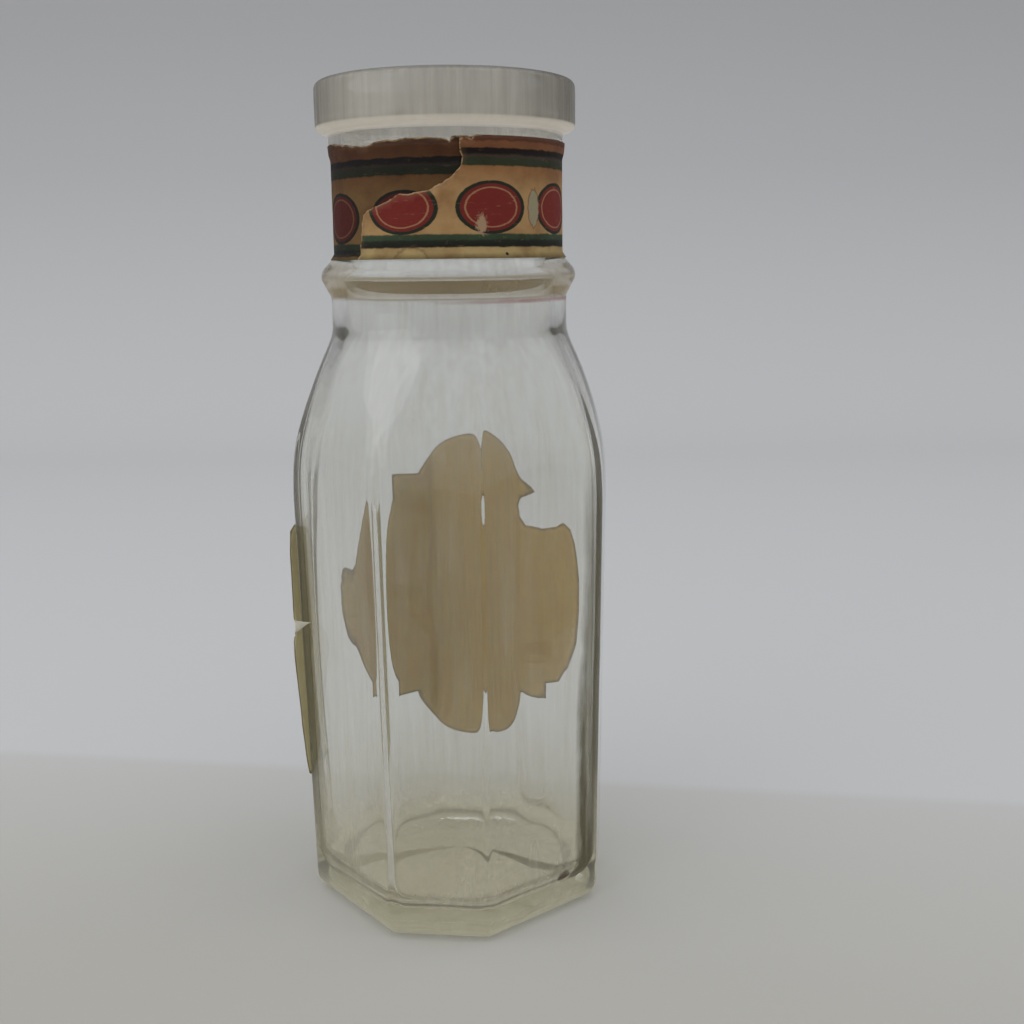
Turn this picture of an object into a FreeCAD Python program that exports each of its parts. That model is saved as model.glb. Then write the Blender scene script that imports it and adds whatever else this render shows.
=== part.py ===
# Specimen jar: one moulded glass jar with a flat-sided body, and the paper labels pasted on it.
# Millimetres, +Z up. The origin is the middle of the foot, on the surface the jar stands on,
# and the broad flats of the body face along X and Y.
import FreeCAD, Part
import math
import os
import Sketcher
from FreeCAD import Placement, Rotation, Vector

doc = FreeCAD.newDocument("SpecimenJar")

# ---------------------------------------------------------------- driving dimensions
SIZES = [
    # body of the jar, measured at the foot; its flats lean outwards on the way up
    ("total_height", 209.4),
    ("body_width", 75.2),
    ("diagonal_step", 4.0),
    ("flare_angle", 0.93),
    ("corner_round", 3.0),
    ("heel_round", 2.5),
    ("foot_ring_inset", 11.6),
    ("push_up", 2.5),
    # neck under the paper band, and the slightly fuller ring above it
    ("neck_radius", 28.3),
    ("ring_step", 0.6),
    ("ring_drop", 17.9),
    ("ring_cone", 0.8),
    # collar round the mouth
    ("collar_step", 3.7),
    ("collar_depth", 12.0),
    ("collar_foot_round", 1.8),
    ("rim_round", 1.7),
    ("rim_inner_round", 0.6),
    ("rim_wall", 2.6),
    # ridge below the neck band
    ("bead_drop", 46.3),
    ("bead_face_step", 2.95),
    ("bead_face_half", 1.9),
    ("bead_nose_round", 3.0),
    ("bead_foot_drop", 5.1),
    ("bead_top_rise", 4.1),
    # round shoulder that turns the flats into the neck, placed down from the ridge
    ("girth_step", 3.2),
    ("shoulder_sweep", 103.0),
    ("neck_sweep", 12.0),
    ("lower_neck_step", 1.3),
    ("lower_neck_height", 6.5),
    # inside of the jar
    ("wall", 2.4),
    ("neck_wall", 2.3),
    ("inner_neck_sweep", 14.0),
    ("gallery_depth", 9.6),
    ("gallery_round", 1.0),
    ("ledge_round", 1.5),
    ("floor_thickness", 6.0),
    ("floor_rise", 2.0),
    ("inner_corner_round", 13.0),
    ("inner_heel_round", 8.0),
    # paper
    ("paper", 0.15),
    ("paste_gap", 0.02),
    ("band_over_lap", 2.3),
    ("band_shift", 0.3),
    ("band_over_wrap", 245.0),
    ("band_over_start", -127.0),
    ("tear_view", -100.0),
    ("back_label_foot_gap", 26.0),
    ("back_label_over_shoulder", 14.9),
    ("back_label_half_width", 21.4),
    ("back_label_top_bulge", 10.4),
    ("back_label_foot_bulge", 14.5),
    ("back_label_side_bulge", 10.0),
    ("back_label_stub", 4.8),
    ("bite_radius", 4.8),
    ("side_label_foot", 31.0),
    ("side_label_head_gap", 1.0),
    ("side_label_flap", 9.0),
    ("side_label_round", 6.0),
    ("flap_notch_rise", 8.0),
    ("flap_notch_half", 2.2),
]

# sizes that follow from those above, so that what fits together stays fitted
TIED = [
    ("diagonal_width", "body_width - diagonal_step"),
    ("foot_ring_radius", "body_width / 2 - foot_ring_inset"),
    ("collar_radius", "neck_radius + collar_step"),
    ("neck_bore_radius", "neck_radius - neck_wall"),
    ("bead_centre", "total_height - bead_drop"),
    ("bead_face_radius", "neck_radius + bead_face_step"),
    ("lower_neck_radius", "neck_radius + lower_neck_step"),
    ("shoulder_girth_radius", "body_width / 2 + girth_step"),
    ("shoulder_across", "lower_neck_radius + neck_sweep - shoulder_girth_radius + shoulder_sweep"),
    ("shoulder_rise", "sqrt((shoulder_sweep + neck_sweep) ^ 2 - shoulder_across ^ 2)"),
    ("shoulder_foot", "bead_centre - bead_foot_drop - lower_neck_height - shoulder_rise"),
    ("band_over_foot", "bead_centre + bead_top_rise"),
    ("band_over_head", "total_height - ring_drop + ring_cone + band_over_lap"),
    ("band_over_height", "band_over_head - band_over_foot"),
    ("back_label_span", "shoulder_foot + back_label_over_shoulder - back_label_foot_gap"),
    ("back_label_bulges", "back_label_top_bulge + back_label_foot_bulge"),
    ("back_label_half_height", "(back_label_span - back_label_bulges) / 2"),
    ("back_label_centre", "back_label_foot_gap + back_label_foot_bulge + back_label_half_height"),
    ("side_label_height", "shoulder_foot - side_label_head_gap - side_label_foot"),
    ("flap_notch_height", "side_label_height / 2 + flap_notch_rise"),
]

sheet = doc.addObject("Spreadsheet::Sheet", "Sizes")
SPARE = 1.0  # how far a cutting form runs past what it cuts


def size(name):
    return float(getattr(sheet, name))


def formula(text):
    """A formula in bare size names, written out with the sheet's name before each of them."""
    words = sorted((alias for alias, _ in SIZES + TIED), key=len, reverse=True)
    out, at = "", 0
    while at < len(text):
        starts_word = at == 0 or not (text[at - 1].isalnum() or text[at - 1] == "_")
        word = next((w for w in words if starts_word and text.startswith(w, at)), None)
        out += f"Sizes.{word}" if word else text[at]
        at += len(word) if word else 1
    return out


def worth(text):
    return float(sheet.evalExpression(formula(str(text)).replace("Sizes.", "")))


for row, (alias, value) in enumerate(SIZES + TIED, start=1):
    sheet.set(f"A{row}", alias)
    sheet.set(f"B{row}", str(worth(value) if isinstance(value, str) else value))
    sheet.setAlias(f"B{row}", alias)
    doc.recompute()

# ---------------------------------------------------------------- sketches
def new_body(name):
    return doc.addObject("PartDesign::Body", name)


def new_sketch(body, name, plane):
    sketch = body.newObject("Sketcher::SketchObject", name)
    origin = next(f for f in body.Origin.OriginFeatures if f.Role == plane)
    sketch.AttachmentSupport = [(origin, "")]
    sketch.MapMode = "FlatFace"
    return sketch


def hold(sketch, kind, geometry, point, value):
    """Fixes one coordinate of one point, by a formula."""
    number = worth(value)
    if abs(number) < 1e-9:
        axis = -2 if kind == "DistanceX" else -1
        sketch.addConstraint(Sketcher.Constraint("PointOnObject", geometry, point, axis))
        return
    index = sketch.addConstraint(
        Sketcher.Constraint(kind, -1, 1, geometry, point, number)
    )
    sketch.setExpression(f"Constraints[{index}]", formula(str(value)))


def arc_through(start, end, radius, turn):
    """The arc from start to end with this radius. turn is 1 for a left-hand bend, -1 for a right."""
    chord = end - start
    reach = math.sqrt(max(radius**2 - (chord.Length / 2) ** 2, 0.0))
    across = Vector(-chord.y, chord.x, 0).normalize() * turn
    centre = (start + end) / 2 + across * reach
    first, last = (start, end) if turn > 0 else (end, start)
    angles = [math.atan2(p.y - centre.y, p.x - centre.x) for p in (first, last)]
    if angles[1] < angles[0]:
        angles[1] += 2 * math.pi
    circle = Part.Circle(centre, Vector(0, 0, 1), radius)
    return Part.ArcOfCircle(circle, *angles)


def draw(sketch, corners, arcs=None):
    """A closed outline. corners are (x, y) formulas, and arcs[i] = (radius formula, turn) bends the
    run that leaves corner i."""
    arcs = arcs or {}
    spots = [Vector(worth(x), worth(y), 0) for x, y in corners]
    ends = []
    for i, spot in enumerate(spots):
        after = spots[(i + 1) % len(spots)]
        if i in arcs:
            radius, turn = arcs[i]
            index = sketch.addGeometry(arc_through(spot, after, worth(radius), turn))
            number = sketch.addConstraint(Sketcher.Constraint("Radius", index, worth(radius)))
            sketch.setExpression(f"Constraints[{number}]", formula(radius))
            ends.append((index, 1, 2) if turn > 0 else (index, 2, 1))
        else:
            ends.append((sketch.addGeometry(Part.LineSegment(spot, after)), 1, 2))
    for i, (this, leaving, _) in enumerate(ends):
        before, _, arriving = ends[i - 1]
        sketch.addConstraint(Sketcher.Constraint("Coincident", before, arriving, this, leaving))
        hold(sketch, "DistanceX", this, leaving, corners[i][0])
        hold(sketch, "DistanceY", this, leaving, corners[i][1])


def turn_round(body, sketch, angle="360"):
    turned = body.newObject("PartDesign::Revolution", body.Name + "_turned")
    turned.Profile = sketch
    turned.ReferenceAxis = (sketch, ["V_Axis"])
    turned.Angle = worth(angle)
    turned.setExpression("Angle", formula(angle))
    sketch.Visibility = False
    return turned


def fillet(body, name, base, picked, radius):
    doc.recompute()
    edges = [f"Edge{i}" for i, e in enumerate(base.Shape.Edges, start=1) if picked(e)]
    rounded = body.newObject("PartDesign::Fillet", name)
    rounded.Base = (base, edges)
    rounded.Radius = worth(radius)
    rounded.setExpression("Radius", formula(radius))
    return rounded


def upright(edge):
    first, last = edge.Vertexes[0].Point, edge.Vertexes[-1].Point
    return abs(last.z - first.z) > 0.9 * edge.Length


def lying_at(height):
    return lambda edge: all(abs(v.Z - height) < 1e-6 for v in edge.Vertexes)


def combine(kind, name, base, tool):
    """A Part boolean of two shapes."""
    joined = doc.addObject(kind, name)
    joined.Base = base
    joined.Tool = tool
    return joined


# ---------------------------------------------------------------- flat-sided forms
def flat_sided(name, inset, foot, corner, heel=None):
    """The eight-sided body form, moved in by inset, leaning outwards by the flare, with rounded
    corners and, if heel is given, a rounded lower edge."""
    body = new_body(name)
    sketch = new_sketch(body, name + "_outline", "XY_Plane")
    sketch.setExpression("AttachmentOffset.Base.z", formula(foot))
    broad = f"(body_width / 2 - {inset})"
    short = f"((diagonal_width - 2 * {inset}) / sqrt(2) - body_width / 2 + {inset})"
    ring = [(short, "-" + broad), (broad, "-" + short), (broad, short), (short, broad)]
    ring += [("-" + x, flip(y)) for x, y in ((short, "-" + broad), (broad, "-" + short))]
    ring += [("-" + broad, "-" + short), ("-" + short, "-" + broad)]
    draw(sketch, ring)
    pad = body.newObject("PartDesign::Pad", name + "_pad")
    pad.Profile = sketch
    pad.Length = worth(f"total_height + {SPARE}")
    pad.setExpression("Length", formula(f"total_height + {SPARE}"))
    pad.setExpression("TaperAngle", formula("flare_angle"))
    last = fillet(body, name + "_corners", pad, upright, corner)
    if heel:
        fillet(body, name + "_heel", last, lying_at(worth(foot)), heel)
    return body


def flip(text):
    return text[1:] if text.startswith("-") else "-" + text


# ---------------------------------------------------------------- glass jar
# One piece of blown glass. A turned form gives the shoulder, bead, neck and collar, and the
# flat-sided form cuts the eight flats of the body from it. The cavity is made the same way.
def shoulder(girth, sweep, neck, neck_sweep):
    """The three points of an S-shaped shoulder: the end of the upright side, the place where the
    shoulder's arc meets the neck's, and the foot of the neck. Both arcs meet smoothly."""
    across = f"({neck} + {neck_sweep} - {girth} + {sweep})"
    rise = f"sqrt(({sweep} + {neck_sweep}) ^ 2 - {across} ^ 2)"
    share = f"({sweep} / ({sweep} + {neck_sweep}))"
    join = (f"{girth} - {sweep} + {share} * {across}", f"shoulder_foot + {share} * {rise}")
    return [(girth, "shoulder_foot"), join, (neck, f"shoulder_foot + {rise}")]


def outside_profile(sketch):
    collar_foot = "total_height - collar_depth"
    ring = "(neck_radius + ring_step)"
    cove = f"(collar_radius - collar_foot_round - {ring})"
    corners = [("foot_ring_radius", "0"), ("shoulder_girth_radius", "0")]
    corners += shoulder(
        "shoulder_girth_radius", "shoulder_sweep", "lower_neck_radius", "neck_sweep"
    )
    corners += [
        ("lower_neck_radius", "bead_centre - bead_foot_drop"),
        ("bead_face_radius", "bead_centre - bead_face_half"),
        ("bead_face_radius", "bead_centre + bead_face_half"),
        ("neck_radius", "bead_centre + bead_top_rise"),
        ("neck_radius", "total_height - ring_drop"),
        (ring, "total_height - ring_drop + ring_cone"),
        (ring, f"{collar_foot} - {cove}"),
        ("collar_radius - collar_foot_round", collar_foot),
        ("collar_radius", f"{collar_foot} + collar_foot_round"),
        ("collar_radius", "total_height - rim_round"),
        ("collar_radius - rim_round", "total_height"),
        ("0", "total_height"),
        ("0", "push_up"),
    ]
    arcs = {
        2: ("shoulder_sweep", 1),
        3: ("neck_sweep", -1),
        6: ("bead_nose_round", 1),
        11: (cove, -1),
        12: ("collar_foot_round", 1),
        14: ("rim_round", 1),
        17: ("(foot_ring_radius ^ 2 + push_up ^ 2) / (2 * push_up)", -1),
    }
    draw(sketch, corners, arcs)


def inside_profile(sketch):
    above = f"total_height + {SPARE}"
    ledge = "total_height - gallery_depth"
    gallery = "(collar_radius - rim_wall)"
    floor_edge = "(shoulder_girth_radius - wall)"
    corners = [("0", "floor_thickness + floor_rise"), (floor_edge, "floor_thickness")]
    corners += shoulder(
        floor_edge, "(shoulder_sweep - wall)", "neck_bore_radius", "inner_neck_sweep"
    )
    corners += [
        ("neck_bore_radius", f"{ledge} - ledge_round"),
        ("neck_bore_radius + ledge_round", ledge),
        (f"{gallery} - gallery_round", ledge),
        (gallery, f"{ledge} + gallery_round"),
        (gallery, "total_height - rim_inner_round"),
        (f"{gallery} + rim_inner_round", "total_height"),
        (f"{gallery} + rim_inner_round", above),
        ("0", above),
    ]
    arcs = {
        0: (f"({floor_edge} ^ 2 + floor_rise ^ 2) / (2 * floor_rise)", -1),
        2: ("(shoulder_sweep - wall)", 1),
        3: ("inner_neck_sweep", -1),
        5: ("ledge_round", -1),
        7: ("gallery_round", 1),
        9: ("rim_inner_round", -1),
    }
    draw(sketch, corners, arcs)


def turned_form(name, profile):
    body = new_body(name)
    sketch = new_sketch(body, name + "_profile", "XZ_Plane")
    profile(sketch)
    turn_round(body, sketch)
    return body


outside = combine(
    "Part::Common",
    "outside",
    turned_form("outside_turned", outside_profile),
    flat_sided("outside_flats", "0", "0", "corner_round", "heel_round"),
)
cavity = combine(
    "Part::Common",
    "cavity",
    turned_form("cavity_turned", inside_profile),
    flat_sided("cavity_flats", "wall", "floor_thickness", "inner_corner_round", "inner_heel_round"),
)
glass_jar = combine("Part::Cut", "glass_jar", outside, cavity)


# ---------------------------------------------------------------- neck band
# A printed paper strip wound round the neck and lapped over itself. The lap sits a little higher
# than the first turn and has lost its upper corner.
def sleeve_profile(sketch, inset, foot, head):
    """A strip of paper that follows the neck and the ring above it."""
    low = "total_height - ring_drop"
    inner, outer = f"(neck_radius + {inset})", f"(neck_radius + {inset} + paper)"
    step_up = [(outer, low), (f"({outer} + ring_step)", f"{low} + ring_cone")]
    step_down = [(f"({inner} + ring_step)", f"{low} + ring_cone"), (inner, low)]
    corners = [(inner, foot), (outer, foot), *step_up, (f"({outer} + ring_step)", head)]
    corners += [(f"({inner} + ring_step)", head), *step_down]
    draw(sketch, corners)


def neck_sleeve(name, inset, foot, head, wrap="360"):
    body = new_body(name)
    sketch = new_sketch(body, name + "_profile", "XZ_Plane")
    sleeve_profile(sketch, inset, foot, head)
    turn_round(body, sketch, wrap)
    return body


under_head = "band_over_foot + band_over_height - band_shift"
neck_band_under = neck_sleeve("neck_band_under", "paste_gap", "band_over_foot", under_head)

over_inset = "paste_gap * 2 + paper"
over_head = "band_over_foot + band_over_height"
over_sleeve = neck_sleeve("over_sleeve", over_inset, "band_over_foot", over_head, "band_over_wrap")
over_sleeve.setExpression("Placement.Rotation.Angle", formula("band_over_start"))

tear = new_body("over_tear")
tear_outline = new_sketch(tear, "over_tear_outline", "XZ_Plane")
TEAR = [(-34.0, -22.0), (-13.6, -22.0), (-11.6, -16.4), (3.8, -12.2), (7.6, -11.0)]
TEAR += [(10.6, -7.8), (12.3, -6.6), (11.4, 2.0), (-34.0, 2.0)]
draw(tear_outline, [(f"{x}", f"{over_head} + {z}") for x, z in TEAR])
tear_pad = tear.newObject("PartDesign::Pad", "over_tear_pad")
tear_pad.Profile = tear_outline
tear_pad.setExpression("Length", formula(f"collar_radius + {SPARE}"))
tear.setExpression("Placement.Rotation.Angle", formula("tear_view + 90"))
neck_band_over = combine("Part::Cut", "neck_band_over", over_sleeve, tear)


# ---------------------------------------------------------------- back label
# A die-cut paper label pasted across the back flat and round both of its corners. Its outline is a
# rectangle with an arc bulging from each side, and one corner is torn off with a round bite.
def back_outline(sketch):
    half, high = "back_label_half_width", "back_label_half_height"
    centre = "back_label_centre"
    stub = "back_label_stub"
    left, right = f"-{half}", half
    top, low = f"{centre} + {high}", f"{centre} - {high}"
    corners = [
        (left, low), (f"{left} + {stub}", low), (f"{right} - {stub}", low), (right, low),
        (right, f"{low} + {stub}"), (right, f"{top} - {stub}"), (right, top),
        (f"{right} - {stub}", top), (f"{left} + {stub}", top), (left, top),
        (left, f"{top} - {stub}"), (left, f"{low} + {stub}"),
    ]  # fmt: skip
    wide, tall = f"({half} - {stub})", f"({high} - {stub})"

    def bulge(chord, rise):
        return f"(({chord} ^ 2 + {rise} ^ 2) / (2 * {rise}))"

    arcs = {
        1: (bulge(wide, "back_label_foot_bulge"), 1),
        4: (bulge(tall, "back_label_side_bulge"), 1),
        7: (bulge(wide, "back_label_top_bulge"), 1),
        10: (bulge(tall, "back_label_side_bulge"), 1),
    }
    draw(sketch, corners, arcs)


label_sheet = combine(
    "Part::Cut",
    "label_sheet",
    flat_sided("label_sheet_outer", "(0 - paste_gap - paper)", "0", "corner_round"),
    flat_sided("label_sheet_inner", "(0 - paste_gap)", "0", "corner_round"),
)
die = new_body("label_die")
die_outline = new_sketch(die, "label_die_outline", "XZ_Plane")
back_outline(die_outline)
die_pad = die.newObject("PartDesign::Pad", "label_die_pad")
die_pad.Profile = die_outline
die_pad.setExpression("Length", formula("body_width"))
die_pad.Reversed = True
torn = new_sketch(die, "label_torn_corner", "XZ_Plane")
TORN = [(-4.2, 6.0), (-4.2, 0.3), (-1.4, -4.9), (3.0, -13.2), (12.0, -13.6), (12.0, 6.0)]
label_top = "back_label_centre + back_label_half_height"
torn_corners = [(f"back_label_half_width + {x}", f"{label_top} + {z}") for x, z in TORN]
draw(torn, torn_corners, {2: ("bite_radius", 1)})
bite = die.newObject("PartDesign::Pocket", "label_bite")
bite.Profile = torn
bite.setExpression("Length", formula("body_width"))
back_label = combine("Part::Common", "back_label", label_sheet, die)


# ---------------------------------------------------------------- side label
# A paper label pasted on the left flat. Its front edge has come unstuck and stands straight out
# past the corner of the glass as a flap, torn once across.
def side_outline(sketch):
    """Drawn on the flat: x runs from the rear corner to the front one, y up the flat."""
    width = "(sqrt(2) * diagonal_width - body_width)"
    flap = f"({width} / 2 + side_label_flap)"
    tip = "side_label_round"
    rear = f"(0 - {width} / 2)"
    high = "side_label_height"
    notch, half = "flap_notch_height", "flap_notch_half"
    corners = [
        (rear, "0"), (f"{flap} - {tip}", "0"), (flap, tip), (flap, f"{notch} - {half}"),
        (f"{width} / 2 + {half}", notch), (flap, f"{notch} + {half}"), (flap, f"{high} - {tip}"),
        (f"{flap} - {tip}", high), (rear, high),
    ]  # fmt: skip
    draw(sketch, corners, {1: (tip, 1), 6: (tip, 1)})


side_label = new_body("side_label")
side_sketch = new_sketch(side_label, "side_label_outline", "XZ_Plane")
side_outline(side_sketch)
side_pad = side_label.newObject("PartDesign::Pad", "side_label_pad")
side_pad.Profile = side_sketch
side_pad.setExpression("Length", formula("paper"))
lean = size("flare_angle")
face = size("body_width") / 2 + size("side_label_foot") * math.tan(math.radians(lean))
rest = Vector(-face - size("paste_gap"), 0, size("side_label_foot"))
side_label.Placement = Placement(rest, Rotation(-90, 0, lean))


# ---------------------------------------------------------------- check and write
NODES = [glass_jar, neck_band_under, neck_band_over, back_label, side_label]
for node in NODES:
    node.Label = node.Name
doc.recompute()
for thing in doc.Objects:
    if {"Invalid", "Error"} & set(thing.State):
        raise RuntimeError(f"{thing.Name} failed: {thing.State}")
os.makedirs("parts", exist_ok=True)
for node in NODES:
    if node.Shape.isNull() or not node.Shape.isValid() or len(node.Shape.Solids) != 1:
        raise RuntimeError(f"{node.Label} isn't one valid solid")
    node.Shape.exportStep(f"parts/{node.Label}.step")
    box = node.Shape.BoundBox
    print(f"{node.Label}: {node.Shape.Volume:.1f} mm3, x {box.XMin:.2f} {box.XMax:.2f}, "
          f"y {box.YMin:.2f} {box.YMax:.2f}, z {box.ZMin:.2f} {box.ZMax:.2f}")  # fmt: skip
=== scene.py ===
import math

import bpy
import numpy as np
from mathutils import Matrix, Vector, geometry, noise


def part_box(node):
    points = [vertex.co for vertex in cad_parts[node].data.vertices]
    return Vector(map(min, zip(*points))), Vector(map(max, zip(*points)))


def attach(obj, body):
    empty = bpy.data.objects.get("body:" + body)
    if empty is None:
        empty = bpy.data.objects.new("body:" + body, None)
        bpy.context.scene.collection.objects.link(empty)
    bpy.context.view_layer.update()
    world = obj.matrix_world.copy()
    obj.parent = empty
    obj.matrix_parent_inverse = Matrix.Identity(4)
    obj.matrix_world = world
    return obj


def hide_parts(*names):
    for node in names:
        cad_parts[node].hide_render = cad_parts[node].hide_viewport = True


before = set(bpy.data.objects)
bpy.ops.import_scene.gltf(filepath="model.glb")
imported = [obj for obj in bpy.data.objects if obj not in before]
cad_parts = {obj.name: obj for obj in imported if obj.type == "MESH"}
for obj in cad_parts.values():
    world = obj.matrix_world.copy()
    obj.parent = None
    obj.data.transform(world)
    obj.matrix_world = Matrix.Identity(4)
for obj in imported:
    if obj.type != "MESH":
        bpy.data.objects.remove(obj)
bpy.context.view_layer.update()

mm = 0.001

# ------------------------------------------------------------------ glass jar
# One piece of mould-blown clear glass: a body with eight flats, a round shoulder, a beaded neck and
# an open collar. The mould cut the outside sharply, and the blown inside is rounder and uneven, so
# the glass is thick in the corners and the foot.
total_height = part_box("glass_jar")[1].z / mm
broad_flat, narrow_flat = 37.6, 35.6      # from the axis to the flats, at the foot
flare = math.tan(math.radians(0.93))      # the flats lean outwards
wall = 2.4
girth, shoulder_start, shoulder_sweep = 40.8, 102.0, 103.0
lower_neck, neck_sweep = 29.6, 12.0
neck, ring = 28.3, 28.9
collar = 32.0
bore, gallery = 26.0, 29.4
ridge_height = 163.1
collar_depth, gallery_depth = 12.0, 9.6
floor_thickness, floor_rise, push_up = 6.0, 2.0, 2.5
heel, inner_heel = 5.0, 8.0
outer_corner, inner_corner = 150.0, 64.0  # how sharply the flats meet: higher is sharper
wedges = (0.4, -0.5, 0.3, 0.4, -0.4, 3.4, 0.3, -0.6)  # the inner flats aren't parallel, in degrees
thins = (0.0, 0.0, 0.0, 0.0, 0.0, 0.40, 0.0, 0.0)  # and one is thinner

COLUMNS = 256
corner_angle = math.atan2(
    narrow_flat * math.sqrt(2) - broad_flat, broad_flat
)  # of a corner, from the middle of a broad flat


def column_angles():
    """Angles round the jar, gathered towards the eight corners, where the glass turns."""
    edges = []
    for quarter in range(4):
        edges += [quarter * math.pi / 2 + s * corner_angle for s in (-1, 1)]
    edges.append(edges[0] + 2 * math.pi)
    each = COLUMNS // 8
    angles = []
    for start, end in zip(edges, edges[1:]):
        t = np.arange(each) / each
        angles.append(start + (end - start) * (t - 0.84 * np.sin(2 * math.pi * t) / (2 * math.pi)))
    return np.concatenate(angles)


THETA = column_angles()


def flats(angle, height, inset, sharpness, tilts=(0.0,) * 8, outwards=(0.0,) * 8):
    """How far out the eight-sided outline lies at an angle and a height, with rounded corners.
    tilts turn single flats, in degrees, and outwards moves them."""
    total = np.zeros_like(angle)
    for i in range(8):
        apothem = (broad_flat if i % 2 == 0 else narrow_flat) + height * flare - inset + outwards[i]
        facing = np.cos(angle - i * math.pi / 4 - math.radians(tilts[i]))
        facing = np.maximum(facing, 1e-3)
        total += (facing / apothem) ** sharpness
    return total ** (-1 / sharpness)


def arc(x, y, radius, start, end, count=24):
    """Points (radius, height) of an arc, by its centre and its angles in degrees."""
    t = np.radians(np.linspace(start, end, count))
    return list(zip(x + radius * np.cos(t), y + radius * np.sin(t)))


def shoulder_line(girth, sweep, neck, neck_sweep):
    """The S from the upright side to the upright neck: two arcs that meet smoothly."""
    across = neck + neck_sweep - girth + sweep
    lean = math.degrees(math.acos(across / (sweep + neck_sweep)))
    rise = math.sqrt((sweep + neck_sweep) ** 2 - across**2)
    line = arc(girth - sweep, shoulder_start, sweep, 0, lean, 60)
    return line + arc(neck + neck_sweep, shoulder_start + rise, neck_sweep, 180 + lean, 180, 20)


def even_rows(line, soften, step, turn):
    """Rounds off a line's kinks over a distance of soften, then keeps only the points that a step
    or a turn in degrees needs."""
    line = np.array(line, float)
    along = np.concatenate([[0], np.cumsum(np.hypot(*np.diff(line, axis=0).T))])
    fine = np.arange(0, along[-1], 0.1)
    points = np.stack([np.interp(fine, along, line[:, k]) for k in (0, 1)], axis=1)
    reach = int(3 * soften / 0.1)
    weights = np.exp(-0.5 * (np.arange(-reach, reach + 1) * 0.1 / soften) ** 2)
    weights /= weights.sum()
    padded = np.concatenate(
        [
            2 * points[0] - points[reach:0:-1],
            points,
            2 * points[-1] - points[-2 : -reach - 2 : -1],
        ]
    )
    points = np.stack([np.convolve(padded[:, k], weights, "valid") for k in (0, 1)], axis=1)
    kept = [0]
    heading = np.unwrap(np.arctan2(*np.gradient(points, axis=0).T[::-1]))
    for i in range(1, len(points)):
        far = (i - kept[-1]) * 0.1 >= step
        bent = abs(heading[i] - heading[kept[-1]]) >= math.radians(turn)
        if far or bent or i == len(points) - 1:
            kept.append(i)
    return points[kept]


def outside_line():
    """The turned outline from the foot up to the rim's crown, as (radius, height)."""
    foot = total_height - collar_depth
    line = [(girth + 7.0, 0.0), (girth + 4.2, 60.0), (girth + 0.9, 90.0)]
    line += shoulder_line(girth, shoulder_sweep, lower_neck, neck_sweep)
    line += [(lower_neck, 158.0)]
    line += arc(28.93, ridge_height, 3.0, -39, 39, 16)
    line += [(neck, 168.2), (neck, total_height - 17.9), (ring, total_height - 17.1)]
    line += arc(collar - 1.8, foot - 1.3, 1.3, 180, 90, 10)
    line += arc(collar - 1.8, foot + 1.8, 1.8, -90, 0, 12)
    line += arc(collar - 1.7, total_height - 1.7, 1.7, 0, 90, 14)
    return line


def inside_line():
    """The turned outline of the cavity, from the rim's crown down to the floor."""
    ledge = total_height - gallery_depth
    line = arc(gallery + 0.6, total_height - 0.6, 0.6, 90, 180, 8)
    line += arc(gallery - 1.0, ledge + 1.0, 1.0, 0, -90, 8)
    line += arc(bore + 1.5, ledge - 1.5, 1.5, 90, 180, 10)
    line += [(bore, 170.0), (bore + 0.9, 164.0), (bore, 158.0)]
    line += shoulder_line(girth - wall, shoulder_sweep - wall, bore, 14.0)[::-1]
    line += [(girth - wall + 0.9, 90.0), (girth - wall + 4.2, 60.0), (girth - wall + 7.0, 8.0)]
    return line


def side_radius(line, inset):
    """How far out the middle of a broad flat lies at any height, eased into the round shoulder."""
    heights = np.arange(-40, 170, 0.5)
    line = line[np.argsort(line[:, 1])]
    turned = np.interp(heights, line[:, 1], line[:, 0])
    least = np.minimum(broad_flat + heights * flare - inset, turned)
    weights = np.exp(-0.5 * (np.arange(-40, 41) * 0.5 / 5.5) ** 2)
    eased = np.convolve(np.pad(least, 40, "edge"), weights / weights.sum(), "valid")
    return lambda height: np.interp(
        height, heights, eased + (turned - eased) * np.clip((heights - 124) / 14, 0, 1)
    )


def fading_flats(height, inset, middle, *shape):
    """A ring of the jar's side, from eight flats low down to a circle above the shoulder."""
    outline = flats(THETA, height, inset, *shape) / (broad_flat + height * flare - inset)
    fade = np.interp(height, (108, 122, 136, 148), (1, 0.8, 0.25, 0))
    return middle * (1 + fade * (outline - 1))


def uneven(angle, height, seed, around, along):
    """Slow waves in the glass, between about -0.5 and 0.5."""
    return np.array(
        [
            noise.noise(Vector((math.cos(a) * around, math.sin(a) * around, height / along + seed)))
            for a in angle
        ]
    )


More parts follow.
